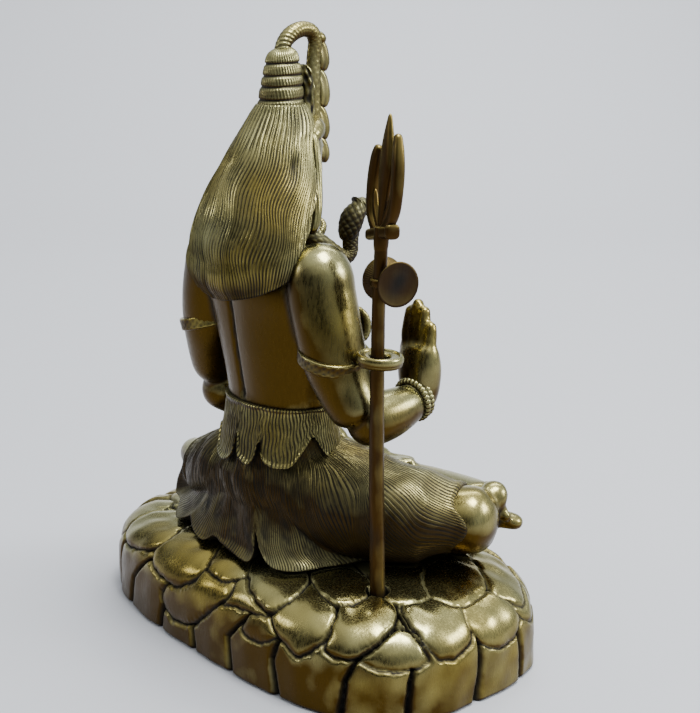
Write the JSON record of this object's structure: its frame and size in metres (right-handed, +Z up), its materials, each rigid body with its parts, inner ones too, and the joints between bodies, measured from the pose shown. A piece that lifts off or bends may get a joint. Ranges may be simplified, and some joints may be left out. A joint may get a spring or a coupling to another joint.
{
  "type": "shiva figure",
  "caption": "Cast brass seated Shiva on a petalled oval base, right hand raised, with a loose trident held by an arm ring and a base socket; an ornament for a shelf or shrine.",
  "frame": {"origin": "on the table under the middle of the base", "axes": "+Z up, the figure faces -Y, its own right hand is towards -X"},
  "size_m": [0.2434, 0.147, 0.2984],
  "materials": {
    "cast_brass": "cast brass, brushed and polished on the raised forms, with dark brown patina left in the chased lines",
    "trident_brass": "brown, rubbed brass rod with a dull cast surface"
  },
  "bodies": {
    "root": {"figure": "cast_brass", "trident": "trident_brass"}
  },
  "joints": []
}
